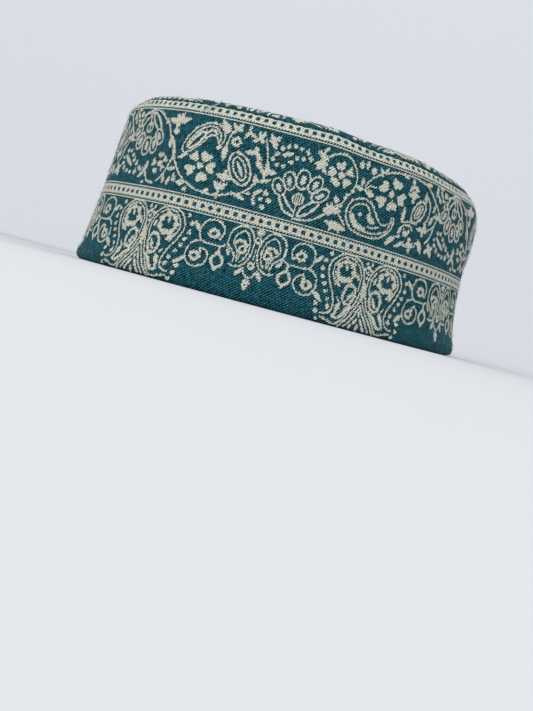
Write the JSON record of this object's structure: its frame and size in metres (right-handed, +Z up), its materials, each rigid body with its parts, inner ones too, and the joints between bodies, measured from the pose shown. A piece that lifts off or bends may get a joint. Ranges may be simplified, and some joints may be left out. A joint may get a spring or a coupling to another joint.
{
  "type": "kashmiri cap",
  "caption": "Soft pillbox cap of jacquard woven wool with an oval flat crown, a rolled rim turned up inside, and paisley and flower figures between dotted borders.",
  "frame": {"origin": "centre of the rim's oval box, on the surface that the cap rests on", "axes": "+Z up through the crown, Y along the head oval with the wearer's front at -Y, X across the head"},
  "size_m": [0.1822, 0.2016, 0.084],
  "materials": {
    "teal_cloth": "teal wool twill, matt and slightly felted",
    "cream_figure": "cream figuring yarn, matt, raised a little over the ground",
    "lining_cloth": "dark brown plain woven cotton lining, matt"
  },
  "bodies": {
    "root": {"side_band": "teal_cloth", "crown_top": "teal_cloth", "turned_in_hem": "teal_cloth", "lining": "lining_cloth"}
  },
  "joints": []
}
